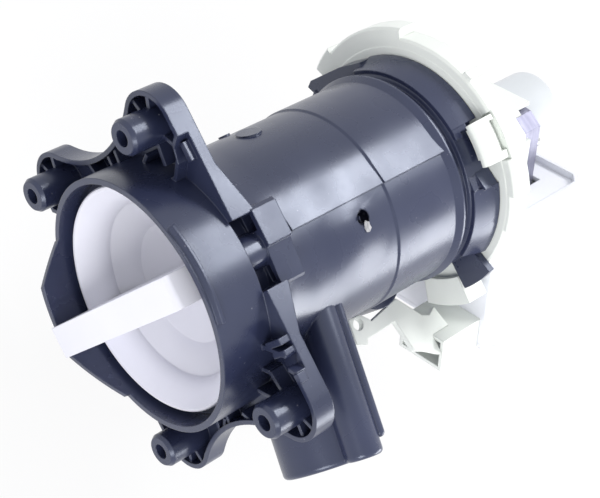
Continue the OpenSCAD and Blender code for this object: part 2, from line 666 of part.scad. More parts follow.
module dog_bumper() color(rubber) arc_y(dog_w / 2 + 1.6, dog_w / 2 + bumper_w + 1.6)
    translate([journal_r + 0.4, cavity_front + 0.4]) square([hub_cavity_r - journal_r - 0.6, hub_rear - cavity_front - 2]);
module drive_dog() color(steel) difference() {
    union() {
        rod_y(cavity_front + 0.4, hub_rear - 0.4, 2 * journal_r);
        arc_y(-dog_w / 2, dog_w / 2) translate([journal_r - 0.5, cavity_front + 0.9])
            square([hub_cavity_r - journal_r + 0.5 - slip, hub_rear - cavity_front - 2.2]);
    }
    rod_y(cavity_front - 1, hub_rear + 1, shaft_d);
}

// Rotor: shaft, core, magnet and washers

rotor_mid = stack_rear_y - stack_h / 2;
magnet_front = rotor_mid - magnet_len / 2;
core_r = 5.4;
sleeve_r = 3.6;
rear_bearing_y = magnet_front + magnet_len + 4.5;
washer_t = 1;
module rotor_shaft() color(steel) rod_y(cavity_front - 2.5, rear_bearing_y + bearing_len + 1, shaft_d);
module rotor_core() color(cream) difference() {
    union() {
        rod_y(magnet_front - 1.2, magnet_front + magnet_len + 1.2, 2 * core_r);
        rod_y(front_bearing_y + bearing_len + washer_t + 2 * slip, rear_bearing_y - washer_t - 2 * slip, 2 * sleeve_r);
    }
    rod_y(front_bearing_y, rear_bearing_y + 5, shaft_d);
}
module rotor_magnet() color(magnet_black) difference() {
    rod_y(magnet_front, magnet_front + magnet_len, magnet_d);
    rod_y(magnet_front - 1, magnet_front + magnet_len + 1, 2 * core_r);
}
module thrust_washers() color(bronze)
    for (y = [front_bearing_y + bearing_len + slip, rear_bearing_y - washer_t - slip]) difference() {
        rod_y(y, y + washer_t, 9);
        rod_y(y - 1, y + washer_t + 1, shaft_d + 2 * running);
    }

// Bearings in their rubber mounts
module bearing(y) difference() {
    rod_y(y, y + bearing_len, 2 * bearing_r);
    rod_y(y - 1, y + bearing_len + 1, shaft_d + 2 * running);
}
module bearing_mount(y) difference() {
    rod_y(y, y + bearing_len, 2 * mount_r);
    rod_y(y - 1, y + bearing_len + 1, 2 * bearing_r);
}
module front_bearing() color(bronze) bearing(front_bearing_y);
module front_bearing_mount() color(rubber) bearing_mount(front_bearing_y);
module rear_bearing() color(bronze) bearing(rear_bearing_y);
module rear_bearing_mount() color(rubber) bearing_mount(rear_bearing_y);

// Wet-side can round the rotor, with a round closed end
can_r = can_d / 2;
can_in = can_r - can_wall;
can_round = 3.4;
can_flange_r = 15;
module rotor_can() color(cream) spin_y() polygon(concat([[can_in, can_flange_y], [can_flange_r, can_flange_y],
    [can_flange_r, can_flange_y + 1.6], [can_r, can_flange_y + 1.6]],
    bow(can_r - can_round, can_end_y - can_round, can_round, 0, 90), [[0, can_end_y], [0, can_end_y - can_wall]],
    bow(can_in - can_round + can_wall, can_end_y - can_round, can_round - can_wall, 90, 0)));

// Stator: laminated core in two parts, rivets, two coils on bobbins

pole_gap_r = can_r + 0.6;
slot_half = 8;
slot_end = core_len - 13;
yoke_x = slot_end + 0.1;
module core_outline() difference() {
    polygon([[core_tip, 8], [core_tip + 1, core_half - 5], [core_tip + 5, core_half], [slot_end, core_half],
        [slot_end, slot_half], [8, slot_half], [8, -slot_half], [slot_end, -slot_half], [slot_end, -core_half],
        [core_tip + 5, -core_half], [core_tip + 1, -core_half + 5], [core_tip, -8]]);
    circle(pole_gap_r);
    translate([8, 0]) square([20, 2 * slot_half], center = true);
    for (s = [-1, 1]) translate([0, s * screw_n]) circle(1.8);
}
module stator_core() color(lamination) motor_turn() slab_y(core_front, stack_rear_y) {
    intersection() {
        core_outline();
        translate([-50, 0.8]) square([200, 60]);
    }
    intersection() {
        core_outline();
        translate([-50, -60.8]) square([200, 60]);
    }
}
rivet_x = slot_end + 6.5;
rivet_n = 14;
module core_yoke() color(lamination) motor_turn() slab_y(core_front, stack_rear_y) difference() {
    translate([yoke_x, -core_half]) square([core_len - yoke_x, core_w]);
    for (s = [-1, 1]) translate([rivet_x, s * rivet_n]) circle(1.5);
}
module core_rivets() color(steel) motor_turn() for (s = [-1, 1]) translate([rivet_x, 0, s * rivet_n]) {
    rod_y(core_front - 1, stack_rear_y + 1, 3);
    rod_y(core_front - 1, core_front, 5.4);
    rod_y(stack_rear_y, stack_rear_y + 1, 5.4);
}

bobbin_x0 = 17;
bobbin_x1 = slot_end - 0.6;
bobbin_t = 1.2;
flange_t = 1.5;
coil_in = 1.2;
box_half = coil_box_w / 2;
box_wall = 1.6;
box_bevel = 4;
coil_gap = 7.2;
coil_out = box_half - box_wall - coil_gap;
coil_y0 = core_front - 7;
coil_y1 = stack_rear_y + 7;
module leg_box(x0, x1, n0, n1, y0, y1, side) translate([x0, y0, side > 0 ? n0 : -n1]) cube([x1 - x0, y1 - y0, n1 - n0]);
module bobbin(side) motor_turn() difference() {
    union() {
        leg_box(bobbin_x0, bobbin_x1, slot_half - bobbin_t, core_half + bobbin_t, core_front - bobbin_t,
            stack_rear_y + bobbin_t, side);
        for (x = [bobbin_x0, bobbin_x1 - flange_t])
            leg_box(x, x + flange_t, coil_in, coil_out, coil_y0, coil_y1, side);
    }
    leg_box(bobbin_x0 - 1, bobbin_x1 + 1, slot_half, core_half, core_front, stack_rear_y, side);
}
module winding(side) motor_turn() difference() {
    leg_box(bobbin_x0 + flange_t, bobbin_x1 - flange_t, coil_in + 0.4, coil_out - 0.4, coil_y0 + 0.4, coil_y1 - 0.4, side);
    leg_box(bobbin_x0, bobbin_x1, slot_half - bobbin_t, core_half + bobbin_t, core_front - bobbin_t,
        stack_rear_y + bobbin_t, side);
}
module upper_bobbin() color(pale) bobbin(1);
module lower_bobbin() color(pale) bobbin(-1);
module upper_winding() color(copper) winding(1);
module lower_winding() color(copper) winding(-1);
module thermal_cutout() color(steel) motor_turn() translate([26, coil_y1 + 0.05, 6]) cube([14, 2.4, 8]);

// White housing over the coils, with a lid at its far end

box_x0 = 11.5;
box_x1 = core_len + 3;
box_y0 = coil_y0 - 2;
box_y1 = coil_y1 + 4.6;
end_recess = 2.4;
module box_outline(inset) {
    h = box_half - inset;
    y0 = box_y0 + inset;
    y1 = box_y1 - inset;
    b = box_bevel - inset / 2;
    polygon([[y0, -h + b], [y0 + b, -h], [y1 - b, -h], [y1, -h + b], [y1, h - b], [y1 - b, h], [y0 + b, h], [y0, h - b]]);
}
module box_run(x0, x1, inset) translate([x0, 0, 0]) rotate([90, 0, 90]) linear_extrude(x1 - x0) box_outline(inset);
module coil_housing() color(cream) motor_turn() difference() {
    box_run(box_x0, box_x1, 0);
    // pocket before the end wall, and the room for the coils behind it
    box_run(box_x0 - 1, box_x0 + end_recess, box_wall);
    box_run(box_x0 + end_recess + box_wall, box_x1 + 1, box_wall);
    // way of the core through the end wall
    translate([box_x0 - 1, 100, -core_half - 2.4]) cube([end_recess + box_wall + 2, stack_rear_y + 1.2 - 100, core_w + 4.8]);
    rod_y(100, 220, 2 * can_r + 3);
    // the ring and tower of the cover stay clear
    rod_y(100, ring_rear + 0.6, cover_d + 6);
    translate([box_x0 - 20, 100, -core_half - 2.4]) cube([20 - box_x0 + shell_end + 0.6, shell_rear - 99.4, core_w + 4.8]);
    // round window in the rear face
    translate([44, box_y1 - 4, -12]) rotate([-90, 0, 0]) cylinder(h = 8, d = 7);
}
module coil_lid() color(cream) motor_turn() difference() {
    union() {
        box_run(box_x1, box_x1 + 1.8, 0);
        box_run(box_x1 - 2.2, box_x1 + 0.1, box_wall + 0.15);
    }
    box_run(box_x1 - 3, box_x1, box_wall + 1.4);
}

// Plug socket in front of the coil housing, with its blades
plug_x = [56, 69.5];
plug_n = [10, 30];
plug_y0 = 112;
plug_wall = 1.4;
blade_step = 5;
module connector_shroud() color(pale) motor_turn() difference() {
    translate([plug_x[0], plug_y0, plug_n[0]]) cube([plug_x[1] - plug_x[0], box_y0 - plug_y0, plug_n[1] - plug_n[0]]);
    translate([plug_x[0] + plug_wall, plug_y0 - 1, plug_n[0] + plug_wall])
        cube([plug_x[1] - plug_x[0] - 2 * plug_wall, box_y0 - plug_y0 - 2, plug_n[1] - plug_n[0] - 2 * plug_wall]);
    for (i = [-1 : 1]) translate([(plug_x[0] + plug_x[1]) / 2 - 2.4, box_y0 - 5, (plug_n[0] + plug_n[1]) / 2 + i * blade_step - 0.4])
        cube([4.8, 8, 0.8]);
}
module terminal_blades() color(steel) motor_turn() for (i = [-1 : 1])
    translate([(plug_x[0] + plug_x[1]) / 2 - 2.4, plug_y0 + 5, (plug_n[0] + plug_n[1]) / 2 + i * blade_step - 0.4])
        cube([4.8, box_y0 - plug_y0 - 5, 0.8]);

// Cable bracket: a flat arm from the plug socket forward along the body, with an eye at its end
bracket_z = -20;
bracket_t = 2.4;
eye = [41.1, 84.4];
module cable_bracket() color(pale) difference() {
    translate([0, 0, bracket_z - bracket_t]) linear_extrude(bracket_t) difference() {
        polygon([[38, 81.4], [38.4, 86.8], [40.6, 88.9], [42.4, 90.3], [39.9, 104.3], [49.7, 111.6], [51.1, 114.6],
            [49.4, cover_floor - 2.1], [60, 121], [66, 113], [61.3, 106.2], [59.1, 101.5], [46.7, 99.6], [47, 85.5],
            [48.8, 84.3], [46.8, 80.1]]);
        translate(eye) circle(2.1);
    }
    motor_turn() translate([plug_x[0] - running, plug_y0 - running, plug_n[0] - running])
        cube([30, box_y0 - plug_y0, 40]);
}

// Two screws that hold the core to the cover
module motor_screws() color(steel) motor_turn() for (n = [-1, 1]) translate([0, 0, n * screw_n]) {
    rod_y(core_front - 9, stack_rear_y, 2.6);
    rod_y(stack_rear_y, stack_rear_y + 2.2, 5.6);
}

filter_housing();
filter_cap();
cap_seal();
filter_basket();
pump_cover();
lock_catch();
cover_seal();
impeller();
dog_bumper();
drive_dog();
rotor_shaft();
rotor_core();
rotor_magnet();
thrust_washers();
front_bearing();
front_bearing_mount();
rear_bearing();
rear_bearing_mount();
rotor_can();
stator_core();
core_yoke();
core_rivets();
upper_bobbin();
lower_bobbin();
upper_winding();
lower_winding();
thermal_cutout();
coil_housing();
coil_lid();
connector_shroud();
terminal_blades();
cable_bracket();
motor_screws();
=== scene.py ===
"""Looks of a washing machine's drain pump: a navy filter housing with a white screw-out filter, a
greenish white motor cover and a pale coil housing, seen from above the filter opening.

Everything is in metres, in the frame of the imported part: +X towards the outlets, +Y along the pump
axis to the motor, +Z up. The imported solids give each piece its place; the classes below give the
pieces their smooth skins, their finishes and the detail that the solids leave out.
"""

import logging
import math
from dataclasses import dataclass, field
from enum import Enum

import bmesh
import bpy
from mathutils import Matrix, Vector, noise


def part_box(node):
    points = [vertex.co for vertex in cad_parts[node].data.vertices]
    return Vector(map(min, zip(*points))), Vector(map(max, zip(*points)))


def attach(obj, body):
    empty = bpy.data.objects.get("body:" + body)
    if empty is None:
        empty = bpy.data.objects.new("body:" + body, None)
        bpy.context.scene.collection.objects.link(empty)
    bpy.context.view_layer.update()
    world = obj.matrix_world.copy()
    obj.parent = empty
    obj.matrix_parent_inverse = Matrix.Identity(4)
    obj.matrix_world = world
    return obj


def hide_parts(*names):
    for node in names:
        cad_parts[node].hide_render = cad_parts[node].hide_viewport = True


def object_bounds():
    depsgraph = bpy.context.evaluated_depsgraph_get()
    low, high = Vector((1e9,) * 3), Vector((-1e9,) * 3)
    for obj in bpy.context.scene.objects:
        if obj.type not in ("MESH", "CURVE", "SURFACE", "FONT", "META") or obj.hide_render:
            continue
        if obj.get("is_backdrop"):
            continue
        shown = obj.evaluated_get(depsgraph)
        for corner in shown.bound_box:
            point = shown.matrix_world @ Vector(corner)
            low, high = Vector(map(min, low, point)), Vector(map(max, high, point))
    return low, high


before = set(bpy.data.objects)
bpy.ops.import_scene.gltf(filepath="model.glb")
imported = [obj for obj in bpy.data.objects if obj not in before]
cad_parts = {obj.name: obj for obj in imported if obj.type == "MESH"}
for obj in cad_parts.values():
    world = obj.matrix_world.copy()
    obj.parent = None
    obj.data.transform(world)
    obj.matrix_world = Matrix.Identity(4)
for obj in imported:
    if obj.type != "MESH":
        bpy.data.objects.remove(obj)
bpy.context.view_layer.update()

LOG = logging.getLogger("drain_pump")
MM = 0.001
# the middle range of a noise pattern, where nearly all its values lie
NOISE_LOW = 0.3
NOISE_HIGH = 0.7
# dust grains: where a grain starts and where it covers, as a share of its cell, and its loose patches
GRAIN_EDGE = (0.13, 0.05)
GRAIN_PATCHES = 75
GRAIN_SPREAD = (0.56, 0.66)
# scuffs: stretched and laid askew, where a ridge starts and where it covers, and their patches
SCUFF_STRETCH = (1.0, 0.35, 1.0)
SCUFF_TURN = (0.35, 0.5, 0.4)
SCUFF_EDGE = (1.62, 1.80)
SCUFF_PATCHES = 34
SCUFF_SPREAD = (0.5, 0.62)
# a Mix node's colours come after its sockets for values and vectors
MIX_UNDER = 6
MIX_UPPER = 7
MIX_RESULT = 2
# rays that the Bevel node sends to round an edge
EDGE_SAMPLES = 6
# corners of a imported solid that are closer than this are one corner
SAME_POINT = 2e-7

Socket = bpy.types.NodeSocket
Triple = tuple[float, float, float]


class Body(Enum):
    """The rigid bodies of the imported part."""

    HOUSING = "housing"
    SEAL = "seal_ring"
    FILTER = "filter"
    CATCH = "catch"
    ROTOR = "rotor"
    IMPELLER = "impeller"


class Slot(Enum):
    """The record's material slots."""

    NAVY = "navy_plastic"
    CAP = "cap_white"
    MOTOR = "motor_white"
    BOX = "housing_white"
    CAN = "can_white"
    RUBBER = "seal_rubber"
    STEEL = "steel"
    FERRITE = "ferrite"
    BRONZE = "bronze"
    LAMINATION = "lamination"
    COPPER = "copper"


class NodeBuilder:
    """Small helper round one material's node tree."""

    def __init__(self, material: bpy.types.Material) -> None:
        """Starts from an empty tree.

        Args:
            material: the material whose nodes are made.
        """
        material.use_nodes = True
        self.tree = material.node_tree
        self.tree.nodes.clear()
        self.coordinates = self.tree.nodes.new("ShaderNodeTexCoord")

    def add(self, kind: str, **settings: object) -> bpy.types.Node:
        """Adds one node.

        Args:
            kind: the node's type name.
            settings: attributes to set on it.

        Returns:
            The new node.
        """
        node = self.tree.nodes.new(kind)
        for key, value in settings.items():
            setattr(node, key, value)
        return node

    def link(self, source: Socket, target: Socket) -> None:
        """Joins two sockets.

        Args:
            source: an output.
            target: an input.
        """
        self.tree.links.new(source, target)

    def noise(self, scale: float, detail: float = 3.0, stretch: Triple = (1, 1, 1)) -> Socket:
        """A noise pattern on Object coordinates.

        Args:
            scale: features per metre, roughly.
            detail: octaves of the noise.
            stretch: how the pattern is scaled along each axis.

        Returns:
            The noise's value socket.
        """
        mapping = self.add("ShaderNodeMapping")
        mapping.inputs["Scale"].default_value = stretch
        self.link(self.coordinates.outputs["Object"], mapping.inputs["Vector"])
        pattern = self.add("ShaderNodeTexNoise")
        pattern.inputs["Scale"].default_value = scale
        pattern.inputs["Detail"].default_value = detail
        self.link(mapping.outputs["Vector"], pattern.inputs["Vector"])
        return pattern.outputs["Fac"]

    def spread(self, value: Socket, low: float, high: float) -> Socket:
        """Maps a pattern's middle range onto two limits.

        Args:
            value: the pattern.
            low: the result at the pattern's low side.
            high: the result at its high side.

        Returns:
            The mapped value.
        """
        return self.mapped(value, (NOISE_LOW, NOISE_HIGH), (low, high))

    def mapped(self, value: Socket, source: tuple[float, float], target: tuple[float, float]) -> Socket:
        """Maps one range onto another, and holds the value inside it.

        Args:
            value: the pattern.
            source: the range that it comes from.
            target: the range that it goes to.

        Returns:
            The mapped value.
        """
        node = self.add("ShaderNodeMapRange")
        for name, number in zip(("From Min", "From Max", "To Min", "To Max"), (*source, *target)):
            node.inputs[name].default_value = number
        self.link(value, node.inputs["Value"])
        return node.outputs["Result"]

    def tint(self, value: Socket, first: Triple, second: Triple) -> Socket:
        """Colours a pattern from one colour to another.

        Args:
            value: the pattern.
            first: linear colour at its low side.
            second: linear colour at its high side.

        Returns:
            The colour socket.
        """
        ramp = self.add("ShaderNodeValToRGB")
        stops = ((NOISE_LOW, first), (NOISE_HIGH, second))
        for element, (position, colour) in zip(ramp.color_ramp.elements, stops):
            element.position = position
            element.color = (*colour, 1)
        self.link(value, ramp.inputs["Fac"])
        return ramp.outputs["Color"]

    def over(self, under: Socket, share: Socket, colour: Triple) -> Socket:
        """Lays one colour over another.

        Args:
            under: the colour below.
            share: how much the upper colour covers.
            colour: the upper linear colour.

        Returns:
            The colour socket.
        """
        mix = self.add("ShaderNodeMix", data_type="RGBA")
        self.link(share, mix.inputs["Factor"])
        self.link(under, mix.inputs[MIX_UNDER])
        mix.inputs[MIX_UPPER].default_value = (*colour, 1)
        return mix.outputs[MIX_RESULT]

    def above(self, value: Socket, start: float, full: float, most: float) -> Socket:
        """Nought up to start, rising to its most at full.

        Args:
            value: the pattern.
            start: where it starts to show.
            full: where it shows in full.
            most: the greatest result.

        Returns:
            The share.
        """
        return self.mapped(value, (start, full), (0.0, most))

    def fade(self, share: Socket, most: float) -> Socket:
        """Its most where the share is nought, and nothing where the share is one."""
        return self.mapped(share, (0.0, 1.0), (most, 0.0))

    def product(self, first: Socket, second: Socket) -> Socket:
        """The product of two patterns."""
        node = self.add("ShaderNodeMath", operation="MULTIPLY")
        self.link(first, node.inputs[0])
        self.link(second, node.inputs[1])
        return node.outputs[0]

    def specks(self, scale: float, share: float) -> Socket:
        """Small pale grains of dust and moulding residue in loose patches.

        Args:
            scale: cells per metre.
            share: how much they cover.

        Returns:
            The share that they cover.
        """
        cells = self.add("ShaderNodeTexVoronoi", feature="F1")
        cells.inputs["Scale"].default_value = scale
        self.link(self.coordinates.outputs["Object"], cells.inputs["Vector"])
        grains = self.above(cells.outputs["Distance"], *GRAIN_EDGE, share)
        patches = self.above(self.noise(GRAIN_PATCHES, 3), *GRAIN_SPREAD, 1.0)
        return self.product(grains, patches)

    def threads(self, scale: float, share: float) -> Socket:
        """Hair-thin scuffs that run across the surface in patches.

        Args:
            scale: features per metre.
            share: how much they cover.

        Returns:
            The share that they cover.
        """
        ridges = self.add("ShaderNodeTexNoise", noise_type="RIDGED_MULTIFRACTAL")
        mapping = self.add("ShaderNodeMapping")
        mapping.inputs["Scale"].default_value = SCUFF_STRETCH
        mapping.inputs["Rotation"].default_value = SCUFF_TURN
        self.link(self.coordinates.outputs["Object"], mapping.inputs["Vector"])
        self.link(mapping.outputs["Vector"], ridges.inputs["Vector"])
        ridges.inputs["Scale"].default_value = scale
        ridges.inputs["Detail"].default_value = 1.0
        thin = self.above(ridges.outputs["Fac"], *SCUFF_EDGE, share)
        patches = self.above(self.noise(SCUFF_PATCHES, 2), *SCUFF_SPREAD, 1.0)
        return self.product(thin, patches)

    def dome(self, centre: Triple, radius: float) -> Socket:
        """A soft round rise.

        Args:
            centre: its middle in metres.
            radius: where it ends, in metres.

        Returns:
            The height: 1 in the middle and 0 from the edge outwards.
        """
        away = self.add("ShaderNodeVectorMath", operation="DISTANCE")
        self.link(self.coordinates.outputs["Object"], away.inputs[0])
        away.inputs[1].default_value = centre
        slope = self.add("ShaderNodeMapRange", interpolation_type="SMOOTHSTEP")
        self.link(away.outputs["Value"], slope.inputs["Value"])
        slope.inputs["From Max"].default_value = radius
        slope.inputs["To Min"].default_value = 1.0
        slope.inputs["To Max"].default_value = 0.0
        return slope.outputs["Result"]

    def rounded(self, radius: float) -> Socket:
        """Normals that turn softly over the edges of a moulding.

        Args:
            radius: the edge's radius in metres.

        Returns:
            The normal socket.
        """
        bevel = self.add("ShaderNodeBevel", samples=EDGE_SAMPLES)
        bevel.inputs["Radius"].default_value = radius
        return bevel.outputs["Normal"]

    def bump(self, height: Socket, depth: float, normal: Socket, strength: float = 1.0) -> Socket:
        """Adds relief.

        Args:
            height: the pattern.
            depth: its height in metres, below zero for a hollow.
            normal: the normal that it starts from.
            strength: how much of it shows.

        Returns:
            The normal socket.
        """
        bump = self.add("ShaderNodeBump")
        bump.inputs["Distance"].default_value = abs(depth)
        bump.invert = depth < 0
        bump.inputs["Strength"].default_value = strength
        self.link(height, bump.inputs["Height"])
        self.link(normal, bump.inputs["Normal"])
        return bump.outputs["Normal"]

    def surface(self, colour: Socket, rough: Socket, normal: Socket) -> bpy.types.Node:
        """The shader and the output.

        Args:
            colour: base colour.
            rough: roughness.
            normal: normal.

        Returns:
            The shader node.
        """
        shader = self.add("ShaderNodeBsdfPrincipled")
        output = self.add("ShaderNodeOutputMaterial")
        for socket, name in ((colour, "Base Color"), (rough, "Roughness"), (normal, "Normal")):
            self.link(socket, shader.inputs[name])
        self.link(shader.outputs["BSDF"], output.inputs["Surface"])
        return shader


@dataclass(frozen=True)
class RoundMark:
    """A soft round rise or hollow that a thick place of a moulding leaves, or a round spot of painted
    shade.

    Attributes:
        centre: its middle in metres.
        radius: where it ends, in metres.
        height: how far it rises, below zero for a hollow.
        painted_shade: how far the colour is painted dark there as painted shade, with its reflection
            dimmed.
        soft: the share of its rise over which the painted shade comes in.
    """

    centre: Triple
    radius: float
    height: float = 0.0
    painted_shade: float = 0.0
    soft: float = 0.35


@dataclass(frozen=True)
class MouldedPlastic:
    """Injection moulded plastic: faint flow marks, a fine mould grain, rounded edges, and painted shade
    where a mark asks for it.
    """

    name: str
    colour: Triple
    second: Triple
    rough: tuple[float, float]
    edge: float = 0.45 * MM
    grain: float = 0.012 * MM
    waves: float = 0.10 * MM
    specular: float = 0.5
    sky: Triple = (1.0, 1.0, 1.0)
    scratches: float = 0.0
    specks: float = 0.0
    dust: Triple = (0.36, 0.36, 0.42)
    scuff: Triple = (0.26, 0.26, 0.31)
    # the near-black colour that painted shade darkens towards
    painted_shade_colour: Triple = (0.001, 0.001, 0.003)
    marks: tuple[RoundMark, ...] = ()

    def build(self) -> bpy.types.Material:
        """Makes the material.

        Returns:
            The material.
        """
        material = bpy.data.materials.new(self.name)
        nodes = NodeBuilder(material)
        colour = nodes.tint(nodes.noise(28, 4, (1.0, 0.45, 1.0)), self.colour, self.second)
        if self.specks:
            colour = nodes.over(colour, nodes.specks(420, self.specks), self.dust)
        if self.scratches:
            colour = nodes.over(colour, nodes.threads(150, self.scratches), self.scuff)
        # painted shade: a mark's painted_shade darkens the colour round its centre, standing in for shade
        # that falls there
        painted_shade_mask = None
        for mark in self.marks:
            if mark.painted_shade:
                painted_shade_mask = nodes.above(nodes.dome(mark.centre, mark.radius), 0.0, mark.soft, mark.painted_shade)
                colour = nodes.over(colour, painted_shade_mask, self.painted_shade_colour)
        rough = nodes.spread(nodes.noise(60, 5), *self.rough)
        waves = nodes.noise(45, 2, (1, 0.5, 1))
        normal = nodes.bump(waves, self.waves, nodes.rounded(self.edge), 0.6)
        for mark in self.marks:
            if mark.height:
                normal = nodes.bump(nodes.dome(mark.centre, mark.radius), mark.height, normal)
        normal = nodes.bump(nodes.noise(2600, 2), self.grain, normal, 0.5)
        shader = nodes.surface(colour, rough, normal)
        shader.inputs["Specular IOR Level"].default_value = self.specular
        # the painted shade also dims the reflection where it lies
        if painted_shade_mask:
            nodes.link(nodes.fade(painted_shade_mask, self.specular), shader.inputs["Specular IOR Level"])
        shader.inputs["Specular Tint"].default_value = (*self.sky, 1)
        return material


@dataclass(frozen=True)
class SheetStack:
    """Coated electrical sheet seen on edge: fine lines across the pump axis."""

    name: str
    colour: Triple
    line: Triple

    def build(self) -> bpy.types.Material:
        """Makes the material.

        Returns:
            The material.
        """
        material = bpy.data.materials.new(self.name)
        nodes = NodeBuilder(material)
        colour = nodes.tint(nodes.noise(90, 4, (1, 8, 1)), self.line, self.colour)
        rough = nodes.spread(nodes.noise(300, 4), 0.34, 0.5)
        normal = nodes.bump(nodes.noise(900, 3, (1, 3, 1)), 0.03 * MM, nodes.rounded(0.12 * MM), 0.5)
        shader = nodes.surface(colour, rough, normal)
        shader.inputs["Metallic"].default_value = 0.55
        return material


@dataclass(frozen=True)
class WornMetal:
    """Plain metal with turning marks and small scratches."""

    name: str
    colour: Triple
    second: Triple
    rough: tuple[float, float]
    stretch: Triple = (1.0, 12.0, 1.0)

    def build(self) -> bpy.types.Material:
        """Makes the material.

        Returns:
            The material.
        """
        material = bpy.data.materials.new(self.name)
        nodes = NodeBuilder(material)
        marks = nodes.noise(420, 4, self.stretch)
        colour = nodes.tint(nodes.noise(120, 3), self.colour, self.second)
        rough = nodes.spread(marks, *self.rough)
        normal = nodes.bump(marks, 0.02 * MM, nodes.rounded(0.2 * MM), 0.4)
        shader = nodes.surface(colour, rough, normal)
        shader.inputs["Metallic"].default_value = 1.0
        return material


@dataclass(frozen=True)
class SoftRubber:
    """Dull black rubber with a dusty bloom."""

    name: str
    colour: Triple
    bloom: Triple

    def build(self) -> bpy.types.Material:
        """Makes the material.

        Returns:
            The material.
        """
        material = bpy.data.materials.new(self.name)
        nodes = NodeBuilder(material)
        colour = nodes.tint(nodes.noise(160, 5), self.colour, self.bloom)
        rough = nodes.spread(nodes.noise(700, 4), 0.6, 0.8)
        normal = nodes.bump(nodes.noise(1800, 3), 0.02 * MM, nodes.rounded(0.2 * MM), 0.5)
        shader = nodes.surface(colour, rough, normal)
        shader.inputs["Sheen Weight"].default_value = 0.15
        return material


@dataclass
class Finishes:
    """One material for each of the record's slots."""

    navy: MouldedPlastic = MouldedPlastic(
        "navy_moulding", (0.020, 0.025, 0.056), (0.030, 0.036, 0.078), (0.22, 0.34),
        edge=0.5 * MM, waves=0.16 * MM, specular=0.75, sky=(0.80, 0.86, 1.0), scratches=0.5, specks=0.5,
        marks=(
            RoundMark((12.0 * MM, 58.8 * MM, 33.5 * MM), 14.5 * MM, height=0.9 * MM),
            RoundMark((7.2 * MM, 62.6 * MM, 34.9 * MM), 5.2 * MM, height=-0.1 * MM),
            # painted shade: the gate's crater is painted nearly black, standing in for the shade inside
            # the hole
            RoundMark((6.4 * MM, 63.5 * MM, 34.2 * MM), 3.1 * MM, painted_shade=0.97, soft=0.2),
        ),
    )
    cap: MouldedPlastic = MouldedPlastic(
        "white_cap", (0.78, 0.78, 0.86), (0.82, 0.82, 0.89), (0.28, 0.4), sky=(0.92, 0.93, 1.0),
        # painted shade: the cap is painted darker everywhere but its front face, standing in for the
        # shade in the dish and at the grip's root
        marks=(RoundMark((0.0, 60 * MM, 0.0), 66 * MM, painted_shade=0.2, soft=0.05),),
    )
    motor: MouldedPlastic = MouldedPlastic(
        "greenish_white_cover", (0.80, 0.83, 0.795), (0.84, 0.87, 0.83), (0.36, 0.5), edge=0.6 * MM,
    )
    box: MouldedPlastic = MouldedPlastic(
        "white_coil_housing", (0.79, 0.80, 0.86), (0.83, 0.84, 0.89), (0.4, 0.55), edge=0.7 * MM,
    )
    can: MouldedPlastic = MouldedPlastic(
        "pale_rotor_can", (0.60, 0.63, 0.66), (0.65, 0.67, 0.69), (0.25, 0.36), edge=0.6 * MM,
    )
    rubber: SoftRubber = SoftRubber("seal_rubber", (0.012, 0.012, 0.013), (0.03, 0.03, 0.031))
    steel: WornMetal = WornMetal("plain_steel", (0.56, 0.57, 0.59), (0.64, 0.65, 0.66), (0.22, 0.38))
    ferrite: MouldedPlastic = MouldedPlastic(
        "ferrite", (0.025, 0.025, 0.028), (0.04, 0.04, 0.042), (0.5, 0.65), edge=0.25 * MM,
    )
    bronze: WornMetal = WornMetal("sintered_bronze", (0.40, 0.27, 0.13), (0.48, 0.34, 0.17), (0.35, 0.5))
    lamination: SheetStack = SheetStack("laminated_sheet", (0.34, 0.34, 0.44), (0.24, 0.24, 0.33))
    copper: WornMetal = WornMetal("enamelled_copper", (0.55, 0.19, 0.06), (0.66, 0.26, 0.09), (0.2, 0.34))
    made: dict[Slot, bpy.types.Material] = field(default_factory=dict)

    def build(self) -> None:
        """Makes every material once."""
        recipes = (
            (Slot.NAVY, self.navy), (Slot.CAP, self.cap), (Slot.MOTOR, self.motor), (Slot.BOX, self.box),
            (Slot.CAN, self.can), (Slot.RUBBER, self.rubber), (Slot.STEEL, self.steel),
            (Slot.FERRITE, self.ferrite), (Slot.BRONZE, self.bronze), (Slot.LAMINATION, self.lamination),
            (Slot.COPPER, self.copper),
        )
        for slot, recipe in recipes:
            self.made[slot] = recipe.build()


